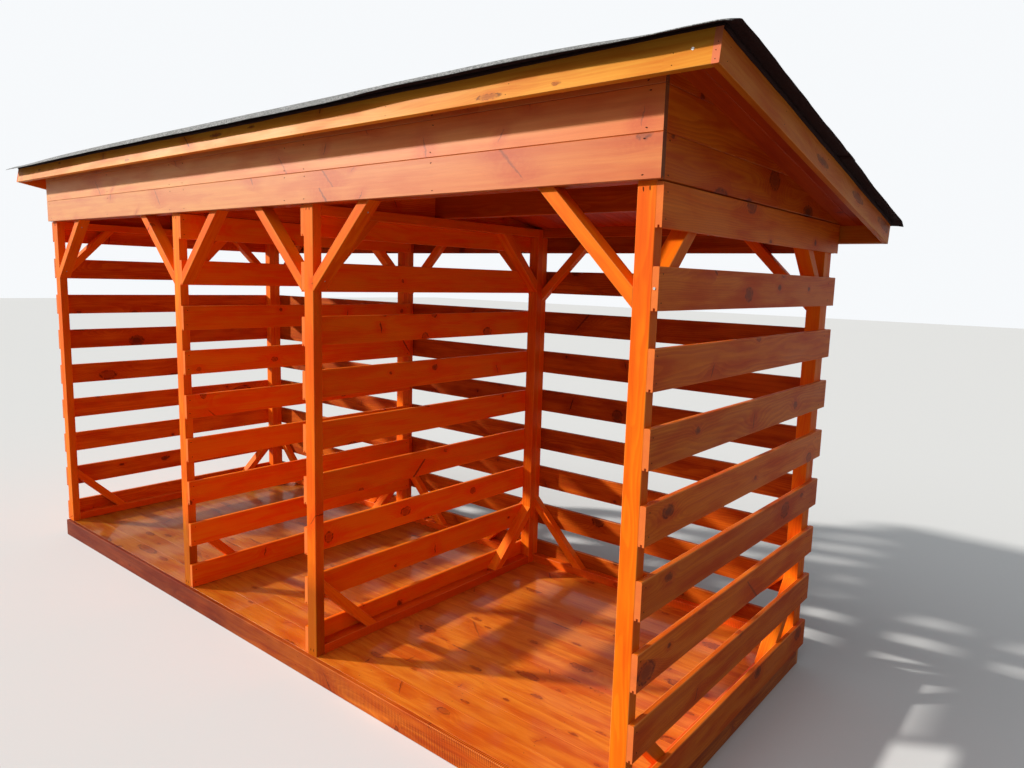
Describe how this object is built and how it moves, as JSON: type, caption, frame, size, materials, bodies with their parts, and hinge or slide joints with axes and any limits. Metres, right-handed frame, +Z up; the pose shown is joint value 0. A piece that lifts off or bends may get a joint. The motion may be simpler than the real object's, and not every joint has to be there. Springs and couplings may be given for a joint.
{
  "type": "log store",
  "caption": "Open-fronted timber log store with slatted walls, divided bays, a boarded floor and a felted lean-to roof that falls to the back.",
  "frame": {"origin": "on the ground, at the middle of the rectangle that the roof covering shades", "axes": "+X along the length, to the right seen from the open front; -Y towards the open front, +Y to the slatted back; +Z up"},
  "size_m": [4.44, 1.7176, 2.2261],
  "materials": {
    "frame_timber": "orange-brown wood stain, satin",
    "wall_boards": "orange-brown wood stain, satin",
    "roof_timber": "orange-brown wood stain, satin",
    "floor_timber": "orange-brown wood stain, glossy where it is thick",
    "base_timber": "red-brown wood stain, satin",
    "roofing_felt": "mineral-faced bitumen felt, rough"
  },
  "bodies": {
    "root": {"back_foot_braces": "frame_timber", "back_frame_post_division_left": "frame_timber", "back_frame_post_division_right": "frame_timber", "back_frame_post_left": "frame_timber", "back_frame_post_right": "frame_timber", "back_knee_braces": "frame_timber", "back_plate": "frame_timber", "back_post_division_left": "frame_timber", "back_post_division_right": "frame_timber", "back_post_left": "frame_timber", "back_post_right": "frame_timber", "back_sole": "frame_timber", "base_joists": "base_timber", "base_rim_back": "base_timber", "base_rim_ends": "base_timber", "base_rim_front": "base_timber", "division_infill": "wall_boards", "fascia_back": "roof_timber", "fascia_front": "roof_timber", "floor_boards": "floor_timber", "frame_foot_braces": "frame_timber", "frame_knee_braces": "frame_timber", "frame_soles": "frame_timber", "frame_top_rails": "frame_timber", "front_knee_braces": "frame_timber", "front_plate": "frame_timber", "front_post_division_left": "frame_timber", "front_post_division_right": "frame_timber", "front_post_left": "frame_timber", "front_post_right": "frame_timber", "front_purlin": "frame_timber", "gable_left": "wall_boards", "gable_right": "wall_boards", "header_boards": "roof_timber", "header_studs": "frame_timber", "middle_purlin": "frame_timber", "roof_boards": "roof_timber", "roofing_felt": "roofing_felt", "slats_back": "wall_boards", "slats_division_left": "wall_boards", "slats_division_right": "wall_boards", "slats_left": "wall_boards", "slats_right": "wall_boards", "verge_left": "roof_timber", "verge_right": "roof_timber"}
  },
  "joints": []
}
